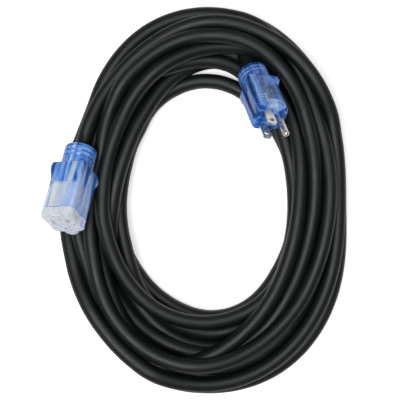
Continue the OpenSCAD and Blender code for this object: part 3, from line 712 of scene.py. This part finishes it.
def plug_vinyl(name):
    """Blue vinyl with pale bands on the collar's grooves, which are painted highlights, and over
    the ribbed carrier.
    """
    collar = ((-20, 20), (-20, 20), (-60, -42))
    carrier_side = ((-20, -6), (-9.5, -3.5), (-12, -0.5))
    return moulded_end(
        name, tuple(bpy.context.scene.power_plug.colour), (0.26, 0.5, 0.98), plug_place(),
        box=((-20, -6), (-6.5, 6.5), (-24, 1)), soft=2,
        streak=(-0.45, 0.9), clear=(0.4, 0.75), cover=(0.93, 0.55),
        ringed=((collar, (-45.15, 3.72, 0.45)), (carrier_side, (-2, 2.8, 0.6))),
    )


def connector_vinyl(name):
    """Light blue vinyl, nearly clear in front of the grip flange."""
    # the pale bands on the collar are painted highlights
    collar = ((-20, 20), (-20, 20), (-70, -53))
    return moulded_end(
        name, tuple(bpy.context.scene.power_connector.colour), (0.66, 0.81, 1.0),
        connector_place(), box=((-30, 30), (-30, 6), (-29, 8)), soft=4.5,
        streak=(-0.25, 0.85), clear=(0.3, 0.75), cover=(1.0, 0.48),
        ringed=((collar, (-56.5, 4.08, 0.17)),),
    )


# frosted cap whose fine pale streaks are painted glints
def frosted_cap(name):
    return moulded_end(
        name, (0.36, 0.5, 1.0), (0.95, 0.98, 1.0), connector_place(),
        box=((-30, 30), (-30, 30), (-20, 10)), soft=2,
        streak=(0, 0.8), clear=(0.3, 0.3), cover=(0.9, 0.9), grain=(300, 300, 140),
    )


def contact_block(name):
    """Milky clear block with its cream side towards -y."""
    cream_side = ((-2, 8.5), (-30, -7), (-30.2, -8.8))

    def build(tree, shader):
        zone = soft_box(tree, in_frame(tree, connector_place())[1], cream_side, 0.4)
        two_tones(tree, shader, zone, (0.6, 0.72, 1.0), (0.92, 0.86, 0.73))
        by_zone(tree, shader, "Transmission Weight", zone, (0.15, 0.0))
        fine = noise(tree, scale=300, detail=3)
        uneven_gloss(tree, shader, fine, (0.2, 0.32))
        bump(tree, shader, fine, strength=0.08, depth=0.0001)

    return material(name, build, IOR=1.4)


# what makes each finish, and what it is told after the name
FINISHES = {
    "jacket_rubber": (rubber,),
    "clear_blue": (plug_vinyl,),
    "pale_blue": (connector_vinyl,),
    "frosted": (frosted_cap,),
    "cream": (contact_block,),
    "milky": (vinyl, (0.9, 0.93, 0.97), 0.3, 0.1),
    "clear": (vinyl, (0.86, 0.92, 1.0), 0.08, 0.75),
    "lamp_glass": (vinyl, (0.96, 0.86, 0.78), 0.05),
    "nickel": (plated, (0.78, 0.75, 0.7)),
    "brass": (plated, (0.78, 0.6, 0.3)),
    "copper": (plated, (0.8, 0.42, 0.26)),
    "filler": (moulded, (0.8, 0.76, 0.66), 0.8),
    "black_insulation": (moulded, (0.03, 0.03, 0.03)),
    "white_insulation": (moulded, (0.85, 0.85, 0.83)),
    "green_insulation": (moulded, (0.08, 0.4, 0.17)),
    "resistor": (moulded, (0.7, 0.55, 0.38)),
}
# the pieces whose finish isn't that of their material slot
OWN_FINISH = {
    "blade_carrier": "milky",
    "plug_strain_relief": "milky",
    "connector_strain_relief": "milky",
    "connector_face_cap": "frosted",
}
MADE = {}


def finish_of(name):
    """The finish of this name, made once and then shared."""
    if name not in MADE:
        maker, *told = FINISHES[name]
        MADE[name] = maker(name, *told)
    return MADE[name]


def put_finish(obj, name):
    obj.data.materials.clear()
    obj.data.materials.append(finish_of(name))


# ------------------------------------------------------------------ moulded bodies

SEGMENTS = 72
SHARP_EDGE = math.radians(28)
# radius of the rounded edge at the collar's rear, and the steps that it is drawn in
RIM = 2.5 * MM
RIM_STEPS = 4
# the grooves' places as shares of the collar, and one groove's rows of [z, depth] in mm
GROOVES = (0.32, 0.56)
GROOVE = ((-1.0, 0), (-0.5, 0.55), (0, 0.8), (0.5, 0.55), (1.0, 0))
# millimetres from the flange's rear back to the collar's last ring and to the neck's ring,
# which lies between the collar and this share of the flange's first ring
COLLAR_END = 0.6
NECK = 0.1
NECK_SHARE = 0.65
# Rows of [millimetres in front of the flange's rear, share of the flange's reach at the
# corners on the -y side, share at those on the +y side].
PLUG_FLANGE = ((0.5, 0.9, 0.9), (1.4, 1, 1), (4.5, 1.1, 1.1), (7, 0.9, 0.9), (9.5, 0.3, 0.3),
               (11, 0, 0))
CONNECTOR_FLANGE = ((0.6, 0.8, 0.1), (2.5, 1, 0.8), (4.5, 1.1, 1.7), (7.5, 0.9, 0.9),
                    (11, 0.4, 0.2), (15, 0, 0))
BLUNT_TIP = 0.4 * MM
FLUTE_RADIUS = 14 * MM
PLUG_FLUTE = 0.35 * MM
CONNECTOR_FLUTE = 0.8 * MM
# where the sine of the angle is over this, the side is the +y one, which has no flute
PLAIN_SIDE = 0.8
# radii of the plug's corners on its -y and +y side
PLUG_CORNERS = (4.5 * MM, 8.5 * MM)
CONNECTOR_CORNER = 5 * MM
# half the width of the rib over the earth hole, and its reach from the axis
RIB = (6 * MM, 19 * MM)
# from the connector's mating face back to the end of its vinyl
CAP_THICK = 7 * MM


def soft_square(a, half, low_corner, high_corner):
    """Reach at angle a of a square whose corners on its +y side have their own radius."""
    c, k = math.cos(a), math.sin(a)
    corner = high_corner if k > 0 else low_corner
    flat = half / max(abs(c), abs(k))
    middle = half - corner
    if min(abs(flat * c), abs(flat * k)) <= middle:
        return flat
    along = middle * (abs(c) + abs(k))
    return along + math.sqrt(along * along - 2 * middle * middle + corner * corner)


def from_side(a):
    """Angle from the middle of the nearest side of a square."""
    return (a + math.pi / 4) % (math.pi / 2) - math.pi / 4


def fluted(a, reach, half, depth):
    """The reach less a shallow flute along each side but the +y one."""
    if math.sin(a) > PLAIN_SIDE:
        return reach
    b = from_side(a)
    off = half * math.tan(b)
    cut = math.sqrt(max(FLUTE_RADIUS * FLUTE_RADIUS - off * off, 0)) - (FLUTE_RADIUS - depth)
    return reach - max(cut, 0) / math.cos(b)


def plate(a, half, reach):
    """Reach of the grip flange: straight sides between four corners with blunt tips."""
    b = abs(from_side(a))
    tip = reach / math.sqrt(2)
    side = half / (math.cos(b) - math.sin(b) * (tip - half) / tip)
    return min(side, reach - BLUNT_TIP)


def ribbed(a, half):
    """Fluted square with the rib over the earth hole on its +y side."""
    square = soft_square(a, half, CONNECTOR_CORNER, CONNECTOR_CORNER)
    base = fluted(a, square, half, CONNECTOR_FLUTE)
    if math.sin(a) <= 0:
        return base
    rib_half, rib_reach = RIB
    middle = rib_reach - rib_half
    along = middle * math.sin(a)
    inside = along * along - (middle * middle - rib_half * rib_half)
    lobe = along + math.sqrt(inside) if inside > 0 else 0
    wall = rib_half / max(abs(math.cos(a)), TINY)
    if wall * math.sin(a) < middle:
        lobe = wall if wall * math.sin(a) > half else 0
    return max(base, lobe)


def lofted(stations):
    """Skin over rings, one for each station [z, reach(angle)], closed at both ends."""

    def around(v):
        return math.atan2(v.co.y, v.co.x) % (2 * math.pi)

    bm = bmesh.new()
    first = bmesh.ops.create_circle(bm, segments=SEGMENTS, radius=1.0)["verts"]
    start = ring = sorted(first, key=around)
    edges = list({e for v in ring for e in v.link_edges})
    angles = [math.atan2(v.co.y, v.co.x) for v in ring]
    for number, (z, reach) in enumerate(stations):
        if number:
            grown = bmesh.ops.extrude_edge_only(bm, edges=edges)["geom"]
            edges = [g for g in grown if isinstance(g, bmesh.types.BMEdge)]
            ring = sorted((g for g in grown if isinstance(g, bmesh.types.BMVert)), key=around)
        for v, a in zip(ring, angles):
            r = reach(a)
            v.co = (r * math.cos(a), r * math.sin(a), z)
    bmesh.ops.contextual_create(bm, geom=start)
    bmesh.ops.contextual_create(bm, geom=ring)
    return bm


def disc(r):
    return lambda a: r


def inset_by(section, depth):
    return lambda a: section(a) - depth


def moulded_body(s, section, flange, nose):
    """A moulded end from its collar to its front, which nose gives as [z, inset in mm]."""
    half = s.side / 2
    r = s.collar_diameter / 2
    rear = -(s.front + s.flange + s.collar)
    back = -s.front - s.flange

    def winged(low, high):
        def reach(a):
            plain = section(a)
            share = low + (high - low) * (math.sin(a) > 0)
            return plain + share * max(plate(a, half, s.reach) - plain, 0)

        return reach

    rows = []
    for k in range(RIM_STEPS + 1):
        w = math.radians(90 * k / RIM_STEPS)
        inset = RIM * (1 - math.cos(math.radians(90) - w))
        rows.append((rear + RIM * (1 - math.sin(w)), disc(r - inset)))
    for share in GROOVES:
        z = rear + s.collar * share
        rows += [(z + along * MM, disc(r - depth * MM)) for along, depth in GROOVE]
    first = winged(*flange[0][1:])
    rows.append((back - COLLAR_END * MM, disc(r)))
    rows.append((back - NECK * MM, lambda a: (1 - NECK_SHARE) * r + NECK_SHARE * first(a)))
    rows += [(back + at * MM, winged(low, high)) for at, low, high in flange]
    rows += [(z, inset_by(section, depth * MM)) for z, depth in nose]
    return lofted(rows)


def plug_mesh(s):
    half = s.side / 2

    def section(a):
        return fluted(a, soft_square(a, half, *PLUG_CORNERS), half, PLUG_FLUTE)

    nose = ((-s.front * 0.6, 0), (-s.front * 0.3, 0), (-2.0 * MM, 0), (-0.9 * MM, 0.25),
            (-0.25 * MM, 0.9), (0, 1.8))
    return moulded_body(s, section, PLUG_FLANGE, nose)


def connector_mesh(s):
    nose = ((-s.front * 0.55, 0), (-s.front * 0.4, 0), (-CAP_THICK - 1.2 * MM, 0),
            (-CAP_THICK - 0.4 * MM, 0.3), (-CAP_THICK, 0.9))
    return moulded_body(s, lambda a: ribbed(a, s.side / 2), CONNECTOR_FLANGE, nose)


def new_piece(name, bm, finish, place):
    """The bmesh as a finished object at the origin, with its place in its mesh."""
    bmesh.ops.remove_doubles(bm, verts=bm.verts, dist=1e-6)
    bmesh.ops.recalc_face_normals(bm, faces=bm.faces)
    for edge in bm.edges:
        edge.smooth = edge.calc_face_angle(0) < SHARP_EDGE
    bm.transform(place)
    mesh = bpy.data.meshes.new(name)
    bm.to_mesh(mesh)
    bm.free()
    for face in mesh.polygons:
        face.use_smooth = True
    obj = bpy.data.objects.new(name, mesh)
    bpy.context.collection.objects.link(obj)
    put_finish(obj, finish)
    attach(obj, "root")
    return obj


# ------------------------------------------------------------------ stage

# half the width of the floor, and the distances from its middle between which its glow
# grows to plain white
FLOOR_HALF = 3.0
FLOOR_FADE = (0.4, 1.4)
# rows of [name, place, side, watts]
LAMPS = (
    ("key_lamp", (-0.3, -0.2, 1.2), 0.6, 11.0),
    ("fill_lamp", (0.3, 0.35, 1.25), 0.8, 5.0),
)


def seen_rays(tree):
    """1 for camera and transmission rays, and 1 for glossy rays."""
    rays = tree.nodes.new("ShaderNodeLightPath").outputs
    seen = calculated(tree, "MAXIMUM", rays["Is Camera Ray"], rays["Is Transmission Ray"])
    return seen, rays["Is Glossy Ray"]


def floor_finish(s):
    """Pale floor that takes shadows and glows a little when seen, more so far out."""
    m = bpy.data.materials.new("floor")
    m.use_nodes = True
    tree = m.node_tree
    tree.nodes.clear()
    plain = tree.nodes.new("ShaderNodeBsdfDiffuse")
    plain.inputs["Color"].default_value = (*s.floor, 1)
    seen, mirrored = seen_rays(tree)
    where = tree.nodes.new("ShaderNodeTexCoord").outputs["Object"]
    far = calculated(tree, "LENGTH", where, kind="ShaderNodeVectorMath", output="Value")
    level = eased(tree, far, FLOOR_FADE, (s.glow, 1.0))
    half_level = calculated(tree, "MULTIPLY", mirrored, s.glow / 2)
    glow = tree.nodes.new("ShaderNodeEmission")
    tree.links.new(calculated(tree, "MULTIPLY_ADD", seen, level, half_level),
                   glow.inputs["Strength"])
    both = tree.nodes.new("ShaderNodeAddShader")
    tree.links.new(plain.outputs[0], both.inputs[0])
    tree.links.new(glow.outputs[0], both.inputs[1])
    out = tree.nodes.new("ShaderNodeOutputMaterial")
    tree.links.new(both.outputs[0], out.inputs["Surface"])
    return m


def add_floor(s):
    bm = bmesh.new()
    bmesh.ops.create_grid(bm, x_segments=1, y_segments=1, size=FLOOR_HALF)
    mesh = bpy.data.meshes.new("floor")
    bm.to_mesh(mesh)
    bm.free()
    mesh.materials.append(floor_finish(s))
    floor = bpy.data.objects.new("floor", mesh)
    bpy.context.collection.objects.link(floor)


def light_world(s):
    """World that is white where it is seen and dim as a light."""
    scene = bpy.context.scene
    scene.world = scene.world or bpy.data.worlds.new("world")
    scene.world.use_nodes = True
    tree = scene.world.node_tree
    back = tree.nodes.get("Background") or tree.nodes.new("ShaderNodeBackground")
    back.inputs["Color"].default_value = (1, 1, 1, 1)
    level = ranged(tree, seen_rays(tree)[0], (0, 1), (s.ambient, 1.0))
    tree.links.new(level, back.inputs["Strength"])


def add_lamp(name, at, size, power):
    """Square lamp that shines at the middle of the floor."""
    data = bpy.data.lights.new(name, "AREA")
    data.shape = "SQUARE"
    data.size = size
    data.energy = power
    lamp = bpy.data.objects.new(name, data)
    lamp.location = at
    lamp.rotation_euler = (-Vector(at)).to_track_quat("-Z", "Y").to_euler()
    bpy.context.collection.objects.link(lamp)


# ------------------------------------------------------------------ operators


class POWERCORD_OT_camera(bpy.types.Operator):
    """Camera straight above the coil"""

    bl_idname = "power_cord.camera"
    bl_label = "Camera"

    def execute(self, context):
        s = context.scene.power_stage
        data = bpy.data.cameras.new("camera")
        data.sensor_fit = "HORIZONTAL"
        data.angle = s.view
        camera = bpy.data.objects.new("camera", data)
        camera.location = (0, 0, s.camera_height)
        context.collection.objects.link(camera)
        context.scene.camera = camera
        return {"FINISHED"}


class POWERCORD_OT_cord(bpy.types.Operator):
    """The whole cord, from the connector through the coil to the plug"""

    bl_idname = "power_cord.cord"
    bl_label = "Cord"

    def execute(self, context):
        s = context.scene.power_cord
        rounds = ROUNDS
        route = settled_route(rounds, thick=round(s.diameter / MM, 3)) * MM
        line = bpy.data.curves.new("rubber_cord", "CURVE")
        line.dimensions = "3D"
        line.resolution_u = 4
        line.bevel_depth = s.diameter / 2
        line.bevel_resolution = 5
        line.use_fill_caps = True
        keep = sorted({*range(0, len(route), CURVE_EVERY), len(route) - 1})
        spline = line.splines.new("BEZIER")
        spline.bezier_points.add(len(keep) - 1)
        for point, k in zip(spline.bezier_points, keep):
            point.co = route[k]
            point.handle_left_type = point.handle_right_type = "AUTO"
        cord = bpy.data.objects.new("rubber_cord", line)
        context.collection.objects.link(cord)
        put_finish(cord, "jacket_rubber")
        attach(cord, "root")
        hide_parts("cord_coil", "plug_lead", "connector_lead")
        return {"FINISHED"}


class POWERCORD_OT_plug_body(bpy.types.Operator):
    """Clear blue body of the plug"""

    bl_idname = "power_cord.plug_body"
    bl_label = "Plug body"

    def execute(self, context):
        mesh = plug_mesh(context.scene.power_plug)
        body = new_piece("plug_body", mesh, "clear_blue", plug_place())
        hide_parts("plug_overmould", "plug_inner_mould")
        return {"FINISHED"}


class POWERCORD_OT_connector_body(bpy.types.Operator):
    """Pale blue body of the connector"""

    bl_idname = "power_cord.connector_body"
    bl_label = "Connector body"

    def execute(self, context):
        mesh = connector_mesh(context.scene.power_connector)
        body = new_piece("connector_body", mesh, "pale_blue", connector_place())
        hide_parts("connector_overmould", "connector_inner_mould")
        return {"FINISHED"}


class POWERCORD_OT_inner_pieces(bpy.types.Operator):
    """Finishes of the pins, contacts, wires and the other solid pieces"""

    bl_idname = "power_cord.inner_pieces"
    bl_label = "Pins and inner pieces"

    def execute(self, context):
        slots = {row["node"]: row["material_slot"] for row in frame["record"]["subparts"]}
        for name, obj in NODES.items():
            if not obj.hide_render:
                obj.data.materials.clear()
                obj.data.materials.append(finish_of(OWN_FINISH.get(name, slots[name])))
        return {"FINISHED"}


class POWERCORD_OT_stage(bpy.types.Operator):
    """White floor and soft lamps"""

    bl_idname = "power_cord.stage"
    bl_label = "Stage"

    def execute(self, context):
        s = context.scene.power_stage
        add_floor(s)
        light_world(s)
        for row in LAMPS:
            add_lamp(*row)
        context.scene.view_settings.view_transform = "Standard"
        return {"FINISHED"}


class POWERCORD_PT_panel(bpy.types.Panel):
    """Shows the cord's settings and the buttons of its steps in the sidebar"""

    bl_label = "Power cord"
    bl_space_type = "VIEW_3D"
    bl_region_type = "UI"
    bl_category = "Power cord"

    def draw(self, context):
        for group in GROUPS:
            box = self.layout.box()
            settings = getattr(context.scene, group)
            for key in settings.__annotations__:
                box.prop(settings, key)
        for step in STEPS:
            self.layout.operator(step.bl_idname)


GROUPS = {
    "power_cord": CordSettings,
    "power_plug": PlugSettings,
    "power_connector": ConnectorSettings,
    "power_stage": StageSettings,
}
STEPS = (
    POWERCORD_OT_camera,
    POWERCORD_OT_cord,
    POWERCORD_OT_plug_body,
    POWERCORD_OT_connector_body,
    POWERCORD_OT_inner_pieces,
    POWERCORD_OT_stage,
)
CLASSES = (*GROUPS.values(), *STEPS, POWERCORD_PT_panel)


def register():
    for cls in CLASSES:
        bpy.utils.register_class(cls)
    for name, cls in GROUPS.items():
        setattr(bpy.types.Scene, name, bpy.props.PointerProperty(type=cls))


def unregister():
    for name in GROUPS:
        delattr(bpy.types.Scene, name)
    for cls in reversed(CLASSES):
        bpy.utils.unregister_class(cls)


def main():
    register()
    for step in STEPS:
        area, name = step.bl_idname.split(".")
        getattr(getattr(bpy.ops, area), name)()


if __name__ == "__main__":
    main()
